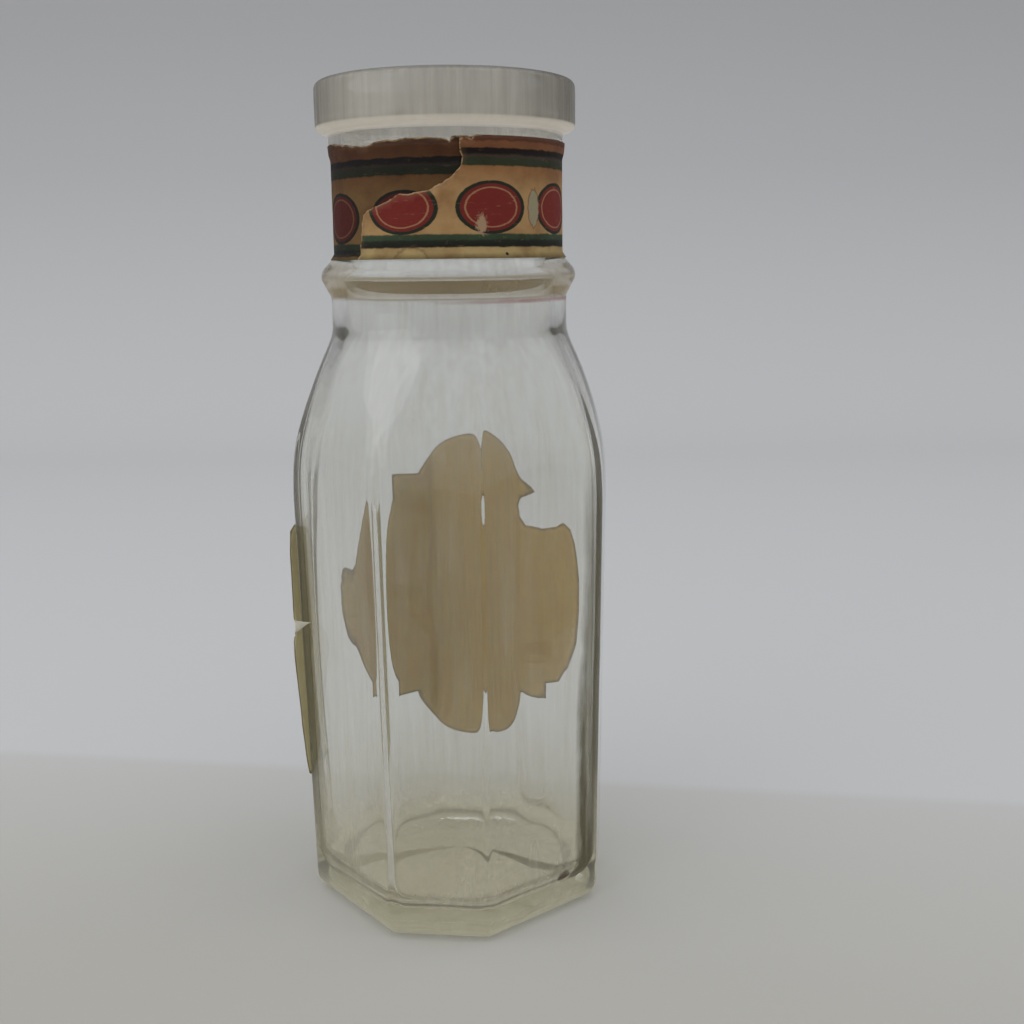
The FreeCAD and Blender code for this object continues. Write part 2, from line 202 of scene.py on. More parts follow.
def jar_rows():
    """Every row of the jar's skin as (radii, height), from the middle of the underside, up the
    outside, over the rim and down to the middle of the floor, and how many rows lie outside."""
    rows = []
    for share in (0.12, 0.3, 0.5, 0.68, 0.8, 0.87, 0.93):
        radius = 31.0 * share
        dish = push_up * max(0.0, 1 - (radius / 27.0) ** 2)
        rows.append((np.full(COLUMNS, radius), dish))
    for inset, height in [(heel + 2.5, 0.0), *[
        (heel * (1 - math.sin(math.radians(t))), heel * (1 - math.cos(math.radians(t))))
        for t in (0, 12, 26, 40, 54, 68, 80)
    ]]:  # fmt: skip
        rows.append((flats(THETA, height, inset, outer_corner), height))
    outer_side = even_rows(outside_line(), 0.45, 3.0, 7.0)
    middle = side_radius(outer_side[outer_side[:, 1] < 170], 0.0)
    for radius, height in outer_side[outer_side[:, 1] > heel]:
        skin = np.full(COLUMNS, radius)
        if height < 148:
            skin = fading_flats(height, 0.0, middle(height), outer_corner)
            skin += 0.10 * uneven(THETA, height, 5.0, 2.5, 30.0)
        rows.append((skin, height))
    outer_rows = len(rows)
    inner_floor = floor_thickness + inner_heel
    inner_side = even_rows(inside_line(), 0.4, 4.0, 8.0)
    middle = side_radius(inner_side[inner_side[:, 1] < 170], wall)
    for radius, height in inner_side[inner_side[:, 1] > inner_floor][1:]:
        skin = np.full(COLUMNS, radius)
        if height < 160:
            if height < 148:
                shape = inner_corner, wedges, thins
                skin = fading_flats(height, wall, middle(height), *shape)
            fade = min(1.0, (160 - height) / 30)
            skin += fade * 0.5 * uneven(THETA, height, 21.0, 3.2, 60.0)
        rows.append((skin, height))
    for t in (90, 76, 62, 48, 34, 20, 8):
        inset = wall + inner_heel * (1 - math.sin(math.radians(t)))
        height = floor_thickness + inner_heel * (1 - math.cos(math.radians(t)))
        skin = flats(THETA, height, inset, inner_corner, wedges, thins)
        skin += 0.5 * uneven(THETA, height, 21.0, 3.2, 60.0)
        rows.append((skin, height))
    edge = rows[-1][0]
    for share in (0.9, 0.75, 0.55, 0.35, 0.15):
        height = floor_thickness + floor_rise * (1 - share**2)
        rows.append((edge * share + (1 - share) * edge.mean() * share * 0.1, height))
    return rows, outer_rows


def jar_mesh():
    rows, outer_rows = jar_rows()
    points = [(0.0, 0.0, push_up * mm)]
    for radii, height in rows:
        x, y = radii * np.cos(THETA) * mm, radii * np.sin(THETA) * mm
        points += list(zip(x, y, np.full(COLUMNS, height * mm)))
    points.append((0.0, 0.0, (floor_thickness + floor_rise) * mm))
    faces = []
    for row in range(len(rows) - 1):
        for column in range(COLUMNS):
            a = 1 + row * COLUMNS + column
            b = 1 + row * COLUMNS + (column + 1) % COLUMNS
            faces.append((a, b, b + COLUMNS, a + COLUMNS))
    last = 1 + (len(rows) - 1) * COLUMNS
    for column in range(COLUMNS):
        after = (column + 1) % COLUMNS
        faces.append((0, 1 + after, 1 + column))
        faces.append((last + column, last + after, len(points) - 1))
    mesh = bpy.data.meshes.new("jar")
    mesh.from_pydata(points, [], faces)
    mesh.polygons.foreach_set("use_smooth", [True] * len(faces))
    lining = mesh.attributes.new("lining", "FLOAT", "POINT")
    inside = np.repeat(np.arange(len(rows)) >= outer_rows, COLUMNS)
    lining.data.foreach_set("value", [0.0, *inside.astype(float), 1.0])
    return mesh


def shelf(name, mesh):
    """Puts a finished mesh in the scene as an object of its own."""
    made = bpy.data.objects.new(name, mesh)
    bpy.context.scene.collection.objects.link(made)
    return made


def finish_named(name):
    """A new material with no nodes yet, and add(kind, inputs), which puts a node in it."""
    material = bpy.data.materials.new(name)
    material.use_nodes = True
    tree = material.node_tree
    tree.nodes.clear()

    def add(kind, inputs=None, **settings):
        made = tree.nodes.new("ShaderNode" + kind)
        for key, value in settings.items():
            setattr(made, key, value)
        for key, value in (inputs or {}).items():
            if isinstance(value, bpy.types.NodeSocket):
                tree.links.new(value, made.inputs[key])
            else:
                made.inputs[key].default_value = value
        return made

    return material, add


def ramp(add, value, stops):
    """A colour that runs through stops, each (place, colour)."""
    made = add("ValToRGB", {"Fac": value})
    band = made.color_ramp
    while len(band.elements) < len(stops):
        band.elements.new(0.5)
    for element, (place, colour) in zip(band.elements, stops):
        element.position = place
        element.color = (*colour, 1.0)
    return made.outputs["Color"]


def grain(add, coords, scale, size, detail=4.0, rough=0.55):
    """Noise at a size, on coordinates stretched by scale."""
    stretched = add("Mapping", {"Vector": coords, "Scale": scale})
    made = add(
        "TexNoise",
        {"Vector": stretched.outputs[0], "Scale": size, "Detail": detail, "Roughness": rough},
    )
    return made.outputs["Fac"]


def spread(add, value, low, high, to_low=0.0, to_high=1.0):
    made = add("MapRange", {0: value, 1: low, 2: high, 3: to_low, 4: to_high})
    return made.outputs[0]


def reckon(add, operation, a, b=0.0):
    return add("Math", {0: a, 1: b}, operation=operation).outputs[0]


def product(add, first, *others):
    for other in others:
        first = reckon(add, "MULTIPLY", first, other)
    return first


def total(add, first, *others):
    for other in others:
        first = reckon(add, "ADD", first, other)
    return first


def zone(add, value, start, full, fade, end):
    """1 from full to fade, easing to 0 at start and end."""
    return product(add, spread(add, value, start, full), spread(add, value, end, fade))


def blend(add, share, first, second, kind="MIX"):
    """The colour first, mixed towards second by a share."""
    mixed = add("Mix", {0: share}, data_type="RGBA", blend_type=kind)
    for socket, value in ((mixed.inputs[6], first), (mixed.inputs[7], second)):
        if isinstance(value, bpy.types.NodeSocket):
            mixed.id_data.links.new(value, socket)
        else:
            socket.default_value = (*value, 1.0)
    return mixed.outputs[2]


def glass_finish():
    """Clear glass with an olive cast in its depth, and a film of dust: streaks down the inside
    walls, a settled layer on the floor, a collar with fine lines of etching, and marks in single
    places. Painted light is mixed into this film: painted shade on the collar's left and right
    sides and in two dark strips down the inside walls, a painted highlight in the hollow at the
    collar's foot, painted olive on the lower half of the bead standing in for the band seen through
    it, and a pale heel that is part scuffing, part painted light. Heights and places are in metres
    and turns round the jar in radians."""
    material, add = finish_named("jar_glass")
    place = add("TexCoord").outputs["Object"]
    lining = add("Attribute", attribute_name="lining").outputs["Fac"]
    outside = reckon(add, "SUBTRACT", 1.0, lining)
    x, y, height = add("SeparateXYZ", {"Vector": place}).outputs
    smear = grain(add, place, (1, 1, 0.25), 90.0)
    wave = grain(add, place, (1, 1, 0.12), 45.0, 2.0)
    bump = add("Bump", {"Strength": 0.05, "Distance": 0.002, "Height": wave})
    clear = add(
        "BsdfPrincipled",
        {
            "Base Color": (0.98, 0.99, 0.975, 1),
            "Roughness": spread(add, smear, 0.35, 0.75, 0.0, 0.05),
            "IOR": 1.5,
            "Transmission Weight": 1.0,
            "Normal": bump.outputs[0],
        },
    )
    streaks = grain(add, place, (1, 1, 0.045), 420.0, 5.0, 0.6)
    clouds = grain(add, place, (1, 1, 0.6), 55.0, 4.0)
    specks = add("TexVoronoi", {"Vector": place, "Scale": 260.0}).outputs["Distance"]

    # how much dust lies on the inside, and how worn the outside is
    haze = product(add, spread(add, streaks, 0.42, 0.75), spread(add, clouds, 0.3, 0.7))
    speck = product(add, spread(add, specks, 0.07, 0.03, 0.0, 0.5), spread(add, clouds, 0.5, 0.65))
    settled = spread(add, height, 0.036, 0.006, 0.0, 0.34)
    inner = product(add, total(add, product(add, haze, 0.22), settled, 0.04, speck), lining)
    collar_zone = spread(add, height, 0.1972, 0.1990)
    neck_wear = spread(add, height, 0.166, 0.196, 0.03, 0.22)
    worn = total(add, neck_wear, product(add, collar_zone, 0.36))
    worn = product(add, worn, spread(add, clouds, 0.3, 0.7, 0.85, 1.15))
    film = total(add, product(add, haze, 0.10), worn, inner)

    # its colour: warm low down, greyer above, and the collar with fine upright lines of etching;
    # painted shade darkens the collar towards its left and right sides, and a darker line runs
    # along the top of the rim
    lower = ramp(add, clouds, [(0.3, (0.50, 0.45, 0.33)), (0.7, (0.58, 0.54, 0.44))])
    upper = ramp(add, clouds, [(0.3, (0.34, 0.32, 0.28)), (0.7, (0.42, 0.405, 0.37))])
    dust_and_painted_light = blend(add, spread(add, height, 0.06, 0.18), lower, upper)
    lines = spread(add, streaks, 0.35, 0.65)
    etching_and_shade = blend(add, lines, (0.45, 0.425, 0.375), (0.60, 0.575, 0.52))
    # painted shade: the collar's colour turns to these darker ones towards its left and right
    # sides, by the size of x
    painted_side_shade = blend(add, lines, (0.15, 0.14, 0.118), (0.27, 0.25, 0.215))
    flank = spread(add, reckon(add, "ABSOLUTE", x), 0.017, 0.031)
    etching_and_shade = blend(add, flank, etching_and_shade, painted_side_shade)
    rim = spread(add, height, 0.2083, 0.2089, 0.0, 0.7)
    etching_and_shade = blend(add, rim, etching_and_shade, (0.14, 0.137, 0.125))
    dust_and_painted_light = blend(add, collar_zone, dust_and_painted_light, etching_and_shade)

    # marks in single places, each with its colour. Several are painted light: olive on the bead's
    # lower half standing in for the band seen through it, a highlight in the hollow at the collar's
    # foot, and dark strips of shade down the inside walls; the pale scuffing on the heel is part
    # wear, part painted light; the others are a red line of ink and a dark stain
    # painted light: an olive film on the lower half of the bead and just below it, standing in for
    # the band seen through the glass
    painted_bead_tint = product(add, zone(add, height, 0.1574, 0.1592, 0.1622, 0.1640), outside, 0.42)
    # painted highlight: a pale ring in the hollow at the collar's foot
    painted_cove_highlight = product(add, zone(add, height, 0.1962, 0.1970, 0.1980, 0.1990), outside, 0.45)
    ink_line = product(
        add,
        zone(add, height, 0.1566, 0.1571, 0.1574, 0.1579),
        spread(add, x, -0.004, 0.018, 0.0, 0.5),
        outside,
        spread(add, clouds, 0.3, 0.6),
    )
    # pale scuffing on the heel, strong enough to stand in for light seen through the base: part
    # wear, part painted light
    scuff_and_painted_light = product(add, spread(add, height, 0.011, 0.003, 0.0, 0.45), outside)
    turn = reckon(add, "ARCTAN2", y, x)
    turn = total(add, turn, spread(add, clouds, 0.3, 0.7, -0.03, 0.03))
    # painted shade: dark olive strips down the inside walls near the right and left edges of the
    # jar, low down; the right one is darker
    upright = product(
        add,
        spread(add, height, 0.120, 0.085),
        spread(add, streaks, 0.3, 0.6, 0.6, 1.0),
        lining,
        0.62,
    )
    right = product(add, zone(add, turn, -0.45, -0.39, -0.30, -0.24), upright, 1.25)
    left = product(add, zone(add, turn, -2.96, -2.90, -2.75, -2.69), upright, 0.7)
    reach = add("VectorMath", {0: place, 1: (0.0285, -0.0175, 0.0085)}, operation="DISTANCE")
    reach = total(add, reach.outputs["Value"], spread(add, clouds, 0.3, 0.7, -0.001, 0.001))
    stain = spread(add, reach, 0.0034, 0.0016, 0.0, 0.75)
    for amount, full, colour in (
        (painted_bead_tint, 0.2, (0.46, 0.36, 0.20)),
        (painted_cove_highlight, 0.2, (0.86, 0.79, 0.70)),
        (ink_line, 0.15, (0.34, 0.10, 0.085)),
        (scuff_and_painted_light, 0.1, (0.70, 0.67, 0.53)),
        (right, 0.2, (0.135, 0.12, 0.068)),
        (left, 0.2, (0.30, 0.275, 0.18)),
        (stain, 0.3, (0.085, 0.05, 0.028)),
    ):
        dust_and_painted_light = blend(add, spread(add, amount, 0.0, full), dust_and_painted_light, colour)
        film = total(add, film, amount)

    # the film's shader: its colour is dust in most places, and painted light in the marks above
    dust = add("BsdfDiffuse", {"Color": dust_and_painted_light})
    through = add("BsdfTranslucent", {"Color": dust_and_painted_light})
    dust_and_painted_film = add("MixShader", {0: 0.5, 1: dust.outputs[0], 2: through.outputs[0]})
    coated = add("MixShader", {0: film, 1: clear.outputs[0], 2: dust_and_painted_film.outputs[0]})
    light = add("LightPath")
    open_glass = add("BsdfTransparent", {"Color": (0.97, 0.975, 0.96, 1)})
    lit = add(
        "MixShader",
        {0: light.outputs["Is Shadow Ray"], 1: coated.outputs[0], 2: open_glass.outputs[0]},
    )
    depth = add("VolumeAbsorption", {"Color": (0.50, 0.50, 0.30, 1), "Density": 6.0})
    add("OutputMaterial", {"Surface": lit.outputs[0], "Volume": depth.outputs[0]})
    return material


glass_jar = shelf("jar_glass", jar_mesh())
glass_jar.data.materials.append(glass_finish())
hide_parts("glass_jar")
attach(glass_jar, "root")

# ------------------------------------------------------------------ neck band, first turn
# A printed paper strip pasted round the neck below the collar. It is brown with age where the
# second turn has torn away, and its ends are hidden under that turn.
neck_skin = even_rows(outside_line(), 0.45, 3.0, 7.0)
neck_skin = neck_skin[(neck_skin[:, 1] > 155) & (neck_skin[:, 1] < 197)]
unroll = 28.5  # millimetres of strip for each radian round the neck, from the front


def arc_between(start, end, rise, count=28):
    """Points of an arc that leaves the straight run by rise, on its right-hand side."""
    start, end = np.array(start, float), np.array(end, float)
    half = np.hypot(*(end - start)) / 2
    radius = (half**2 + rise**2) / (2 * rise)
    along = (end - start) / (2 * half)
    right = np.array([along[1], -along[0]])
    centre = (start + end) / 2 + right * (rise - radius)
    sweep = math.atan2(half, radius - rise)
    angles = np.linspace(-sweep, sweep, count)
    return [tuple(centre + radius * (right * math.cos(t) + along * math.sin(t))) for t in angles]


def cut_line(runs, seed):
    """Joins runs of (tear, points) into one closed outline. A torn run wanders by tear mm.
    It wanders a little differently in each run of Blender, because noise_vector starts from the
    clock and nothing here seeds it."""
    ring, torn = [], []
    for k, (tear, points) in enumerate(runs):
        points = np.array([*points, runs[(k + 1) % len(runs)][1][0]], float)
        for a, b in zip(points, points[1:]):
            count = max(1, math.ceil(np.hypot(*(b - a)) / (0.35 if tear else 1.0)))
            for i in range(count):
                spot = a + (b - a) * i / count
                for scale, share in ((0.45, 1.0), (1.9, 0.5)):
                    drift = noise.noise_vector(Vector((*(spot * scale), seed)))
                    spot = spot + tear * share * np.array(drift[:2])
                ring.append(spot)
                torn.append(tear > 0)
    return np.array(ring), np.array(torn)


def is_within(points, ring):
    x, y = points.T
    odd = np.zeros(len(points), bool)
    for (ax, ay), (bx, by) in zip(ring, np.roll(ring, -1, axis=0)):
        crosses = (ay > y) != (by > y)
        odd ^= crosses & (x < (bx - ax) * (y - ay) / (by - ay + 1e-12) + ax)
    return odd


def gap_to(points, ring, picked):
    """How far each point lies from the picked runs of a ring."""
    best = np.full(len(points), 99.0)
    for a, b, chosen in zip(ring, np.roll(ring, -1, axis=0), picked):
        if chosen:
            along = b - a
            t = np.clip((points - a) @ along / max(along @ along, 1e-12), 0, 1)
            best = np.minimum(best, np.hypot(*(points - a - t[:, None] * along).T))
    return best


def sheet_mesh(name, runs, seed, settle, thick=0.15, step=1.6, peel=0.0):
    """A sheet of paper cut along runs. settle(points, lift) lays it on the glass."""
    ring, torn = cut_line(runs, seed)
    low, high = ring.min(axis=0), ring.max(axis=0)
    across = np.arange(low[0], high[0], step)
    lines = np.arange(low[1], high[1], step * 0.87)
    grid = np.array([(x + i % 2 * step / 2, y) for i, y in enumerate(lines) for x in across])
    grid = grid[is_within(grid, ring)]
    whole = np.ones(len(ring), bool)
    grid = grid[gap_to(grid, ring, whole) > step * 0.45]
    spots = [Vector(p) for p in np.concatenate([ring, grid])]
    loop = [(i, (i + 1) % len(ring)) for i in range(len(ring))]
    spots, _, faces, *_ = geometry.delaunay_2d_cdt(spots, loop, [], 1, 1e-6)
    flat = np.array(spots)
    edge, tear = gap_to(flat, ring, whole), gap_to(flat, ring, torn)
    lift = 0.03 + peel * np.exp(-tear / 1.4)
    lift = lift + np.array([0.07 * noise.noise(Vector((*(p * 0.21), seed))) for p in flat]) + 0.05
    outer, inner = settle(flat, lift + thick), settle(flat, lift)
    a, b, c = (outer[i] for i in faces[0])
    if np.dot(np.cross(b - a, c - a), outer[faces[0][0]] - inner[faces[0][0]]) < 0:
        faces = [face[::-1] for face in faces]
    count = len(flat)
    runs_out = {(f[i], f[(i + 1) % 3]) for f in faces for i in range(3)}
    walls = [(b, a, a + count, b + count) for a, b in runs_out if (b, a) not in runs_out]
    walls.sort()
    skins = [tuple(f) for f in faces] + [tuple(i + count for i in f[::-1]) for f in faces]
    mesh = bpy.data.meshes.new(name)
    mesh.from_pydata(np.concatenate([outer, inner]) * mm, [], skins + walls)
    mesh.polygons.foreach_set("use_smooth", [True] * len(skins) + [False] * len(walls))
    for title, values in (("edge", np.tile(edge, 2)), ("torn", np.tile(tear, 2)),
                          ("pasted", np.repeat([0.0, 1.0], count))):  # fmt: skip
        mesh.attributes.new(title, "FLOAT", "POINT").data.foreach_set("value", values)
    unwrapped = mesh.uv_layers.new(name="sheet")
    corners = np.zeros(len(mesh.loops), int)
    mesh.loops.foreach_get("vertex_index", corners)
    unwrapped.data.foreach_set("uv", (flat[corners % count] / 100).ravel())
    return mesh


def round_neck(points, lift):
    """Lays (millimetres from the front, height) on the neck."""
    u, z = points.T
    radius = np.interp(z, neck_skin[:, 1], neck_skin[:, 0]) + lift
    turn = u / unroll - math.pi / 2
    return np.stack([radius * np.cos(turn), radius * np.sin(turn), z], axis=1)


def blot(add, spot, centre, half, rough, soft=0.12):
    """A patch with a ragged edge: 1 inside, 0 outside, by its centre and its half sizes in mm."""
    shape = add("Mapping", {"Vector": spot, "Location": (-centre[0], -centre[1], 0)})
    shape = add("VectorMath", {0: shape.outputs[0], 1: (1 / half[0], 1 / half[1], 0)},
                operation="MULTIPLY")  # fmt: skip
    reach = add("VectorMath", {0: shape.outputs[0]}, operation="LENGTH").outputs["Value"]
    ragged = grain(add, spot, (1, 1, 1), 1.1, 5.0, 0.7)
    reach = reckon(add, "ADD", reach, spread(add, ragged, 0.3, 0.7, -rough, rough))
    return spread(add, reach, 1.0 + soft, 1.0 - soft)


def paper_finish(name, paint, pasted, seethrough=0.2):
    """Old paper. paint(add, spot, edge, torn) gives its printed colour and relief, with spot in
    millimetres on the sheet."""
    material, add = finish_named(name)
    unwrapped = add("UVMap", uv_map="sheet").outputs[0]
    spot = add("VectorMath", {0: unwrapped, 1: (100, 100, 100)}, operation="MULTIPLY").outputs[0]
    edge = add("Attribute", attribute_name="edge").outputs["Fac"]
    torn = add("Attribute", attribute_name="torn").outputs["Fac"]
    colour, relief = paint(add, spot, edge, torn)
    streaks = grain(add, spot, (1, 0.06, 1), 0.7, 5.0, 0.6)
    blotches = grain(add, spot, (1, 0.6, 1), 0.16, 4.0)
    under = blend(add, spread(add, streaks, 0.3, 0.7), pasted[0], pasted[1])
    under = blend(add, spread(add, blotches, 0.45, 0.75, 0.0, 0.6), under, pasted[2])
    motes = grain(add, spot, (1, 0.6, 1), 0.9, 5.0, 0.7)
    under = blend(add, spread(add, motes, 0.5, 0.72, 0.0, 0.5), under, pasted[2])
    tall = add("SeparateXYZ", {"Vector": spot}).outputs["Y"]
    under = blend(add, spread(add, tall, 35, 112, 0.0, 0.36), under, (0.28, 0.19, 0.07))
    under = blend(add, spread(add, edge, 0.9, 0.1, 0.0, 0.75), under, (0.065, 0.042, 0.02))
    side = add("Attribute", attribute_name="pasted").outputs["Fac"]
    colour = blend(add, side, colour, under)
    fibres = grain(add, spot, (1, 1, 1), 3.5, 6.0, 0.7)
    height = total(add, product(add, fibres, 0.3), relief)
    bump = add("Bump", {"Strength": 0.6, "Distance": 0.0002, "Height": height})
    face = add(
        "BsdfPrincipled",
        {"Base Color": colour, "Roughness": spread(add, fibres, 0.3, 0.7, 0.55, 0.8),
         "Specular IOR Level": 0.25, "Normal": bump.outputs[0]},
    )  # fmt: skip
    glow = add("BsdfTranslucent", {"Color": colour})
    sheet = add("MixShader", {0: seethrough, 1: face.outputs[0], 2: glow.outputs[0]})
    add("OutputMaterial", {"Surface": sheet.outputs[0]})
    return material


def band_print(first_oval, shift, stain, head):
    """The strip's print: a brown head with two dark stripes, red ovals and a lower stripe, with a
    thin light line between the two dark stripes that is a painted highlight.
    """
    pitch, oval_height = 21.3, 178.7

    def paint(add, spot, edge, torn):
        wander = grain(add, spot, (1, 1, 1), 0.35, 3.0)
        smudge = grain(add, spot, (0.25, 1, 1), 1.3, 5.0, 0.65)
        patches = grain(add, spot, (1, 1, 1), 0.12, 4.0)
        split = add("SeparateXYZ", {"Vector": spot})
        u, z = split.outputs["X"], split.outputs["Y"]
        z = reckon(add, "ADD", z, shift)
        level = reckon(add, "ADD", z, spread(add, wander, 0.3, 0.7, -0.16, 0.16))

        def at(height):
            return (height - 164) / 32

        cream, brown = (0.465, 0.285, 0.122), (0.314, 0.147, 0.055)
        # a thin purple-grey line at 190.1 mm, between the dark green and the black stripe, is a
        # painted highlight; the other stops are print
        base = ramp(add, spread(add, level, 164, 196), [
            (at(166.5), (0.41, 0.325, 0.14)), (at(169.6), (0.455, 0.325, 0.14)),
            (at(169.9), (0.010, 0.009, 0.007)), (at(171.2), (0.017, 0.022, 0.012)),
            (at(171.6), (0.040, 0.067, 0.033)), (at(172.6), (0.043, 0.074, 0.040)),
            (at(172.9), cream), (at(182.0), cream), (at(187.8), brown),
            (at(188.1), (0.028, 0.037, 0.014)), (at(189.6), (0.035, 0.040, 0.019)),
            (at(190.1), (0.066, 0.045, 0.033)), (at(190.7), (0.010, 0.005, 0.003)),
            (at(191.7), (0.008, 0.003, 0.003)), (at(192.0), (0.236, 0.096, 0.040)),
            (at(195.5), (0.21, 0.075, 0.035)),
        ])  # fmt: skip
        rim = reckon(add, "ADD", split.outputs["Y"], spread(add, wander, 0.3, 0.7, -0.3, 0.3))
        base = blend(add, spread(add, rim, head - 1.35, head - 0.95), base, (0.10, 0.026, 0.012))
        base = blend(add, spread(add, patches, 0.45, 0.75, 0.0, 0.55), base, brown, "MULTIPLY")
        away = reckon(add, "SUBTRACT", u, first_oval)
        away = add("Math", {0: away, 1: pitch / 2, 2: -pitch / 2}, operation="WRAP").outputs[0]
        rise = reckon(add, "SUBTRACT", z, oval_height)
        oval = add("CombineXYZ", {0: away, 1: rise})
        oval = add("VectorMath", {0: oval.outputs[0], 1: (1 / 8.7, 1 / 6.0, 0)},
                   operation="MULTIPLY")  # fmt: skip
        reach = add("VectorMath", {0: oval.outputs[0]}, operation="LENGTH").outputs["Value"]
        reach = reckon(add, "ADD", reach, spread(add, smudge, 0.3, 0.7, -0.012, 0.012))
        ink = ramp(add, reach, [
            (0.70, (0.196, 0.020, 0.014)), (0.725, (0.378, 0.184, 0.098)),
            (0.75, (0.378, 0.184, 0.098)), (0.775, (0.181, 0.019, 0.014)),
            (0.87, (0.173, 0.019, 0.014)), (0.895, (0.015, 0.020, 0.010)),
            (0.99, (0.017, 0.022, 0.012)),
        ])  # fmt: skip
        printed = blend(add, spread(add, reach, 1.012, 0.988), base, ink)
        rubbed = spread(add, smudge, 0.60, 0.78, 0.0, 0.55)
        printed = blend(add, rubbed, printed, (0.393, 0.251, 0.124))
        aged = blend(add, stain[0], printed, stain[1], "MULTIPLY")
        grime = product(add, spread(add, edge, 1.6, 0.0), spread(add, wander, 0.3, 0.6), 0.5)
        aged = blend(add, grime, aged, (0.157, 0.088, 0.040))
        fibre = product(add, spread(add, torn, 0.40, 0.08), spread(add, smudge, 0.38, 0.6))
        aged = blend(add, fibre, aged, (0.441, 0.302, 0.157))
        return aged, product(add, wander, 2.2)

    return paint


strip_foot, under_head = 167.2, 194.3
under_runs = [
    (0.0, [(-84.6, strip_foot), (93.0, strip_foot), (93.0, under_head)]),
    (0.3, [(12.0, under_head), (5.6, under_head), (5.0, 193.2), (4.2, 193.9), (-9.0, 194.0),
           (-13.5, 193.2), (-15.5, 192.6), (-19.0, 193.0)]),
    (0.0, [(-30.0, under_head), (-84.6, under_head)]),
]  # fmt: skip
neck_band_under = shelf(
    "neck_paper_under", sheet_mesh("neck_paper_under", under_runs, 3.1, round_neck)
)
brown_paste = ((0.330, 0.222, 0.105), (0.267, 0.171, 0.079), (0.236, 0.126, 0.059))
neck_band_under.data.materials.append(
    paper_finish(
        "neck_paper_old", band_print(-27.4, 1.9, (1.0, (0.36, 0.33, 0.27)), 194.1), brown_paste
    )
)
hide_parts("neck_band_under")
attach(neck_band_under, "root")

# ------------------------------------------------------------------ neck band, second turn
# The same strip goes on round the neck and laps over its first turn, a little higher up. Its
# upper corner has torn off along the grain, and its face is scraped and stained.
def second_print(add, spot, edge, torn):
    colour, relief = band_print(-6.5, 0.0, (0.15, (0.8, 0.75, 0.7)), 194.6)(add, spot, edge, torn)
    scraped = blot(add, spot, (12.2, 174.9), (1.3, 2.1), 0.5, 0.2)
    colour = blend(add, scraped, colour, (0.409, 0.265, 0.157))
    lost = blot(add, spot, (26.6, 178.6), (1.7, 4.1), 0.12, 0.05)
    rim = blot(add, spot, (26.6, 178.6), (2.0, 4.5), 0.12, 0.06)
    colour = blend(add, product(add, rim, 0.8), colour, (0.236, 0.088, 0.046))
    colour = blend(add, lost, colour, (0.33, 0.29, 0.18))
    dot = blot(add, spot, (18.3, 168.2), (0.38, 0.36), 0.1)
    colour = blend(add, dot, colour, (0.017, 0.009, 0.007))
    outer_fold = blot(add, spot, (-4.2, 165.8), (4.6, 4.4), 0.1, 0.05)
    inner_fold = blot(add, spot, (-4.2, 165.6), (4.1, 3.9), 0.1, 0.05)
    fold = product(add, reckon(add, "SUBTRACT", outer_fold, inner_fold), 0.45)
    colour = blend(add, fold, colour, (0.125, 0.067, 0.033))
    relief = reckon(add, "SUBTRACT", relief, product(add, lost, 0.8))
    return colour, reckon(add, "SUBTRACT", relief, product(add, scraped, 0.6))


over_head = 194.6
over_runs = [
    (0.0, [(-18.4, strip_foot), (103.5, strip_foot), (103.5, over_head), (24.0, over_head)]),
    (0.25, [(12.0, over_head), (10.6, over_head), (9.9, 193.6), (9.1, 194.3)]),
    (0.4, [(7.5, 194.5), (7.1, 192.0), (8.0, 190.0), (7.2, 187.4), (5.6, 185.6), (3.6, 184.2),
           (0.2, 182.6), (-3.6, 182.0), (-7.0, 181.7), (-10.2, 180.2), (-12.2, 179.5),
           (-15.6, 178.2), (-17.0, 177.4), (-17.8, 173.2)]),
]  # fmt: skip
over_sheet = sheet_mesh(
    "neck_paper_over", over_runs, 8.6, lambda p, lift: round_neck(p, lift + 0.2), peel=0.22
)
neck_band_over = shelf("neck_paper_over", over_sheet)
neck_band_over.data.materials.append(paper_finish("neck_paper_torn", second_print, brown_paste))
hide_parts("neck_band_over")
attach(neck_band_over, "root")

# ------------------------------------------------------------------ back label
# A die-cut paper label pasted on the back flat and round both of its corners, so its pasted side
# shows through the jar. One corner is torn off with a round bite. Its face carries only a border.
def on_flats(facing):
    """Lays (millimetres across the flat, height) on the flat that faces this way, in degrees, and
    round its corners."""

    def settle(points, lift):
        laid = []
        for (across, z), rise in zip(points, lift):
            turn = np.radians(np.linspace(-75, 75, 300))
            radius = flats(turn, z, -rise, outer_corner)
            spread_out = radius * np.sin(turn)
            at = np.interp(across, spread_out, turn)
            reach = np.interp(at, turn, radius)
            heading = at + math.radians(facing)
            laid.append((reach * math.cos(heading), reach * math.sin(heading), z))
        return np.array(laid)

    return settle


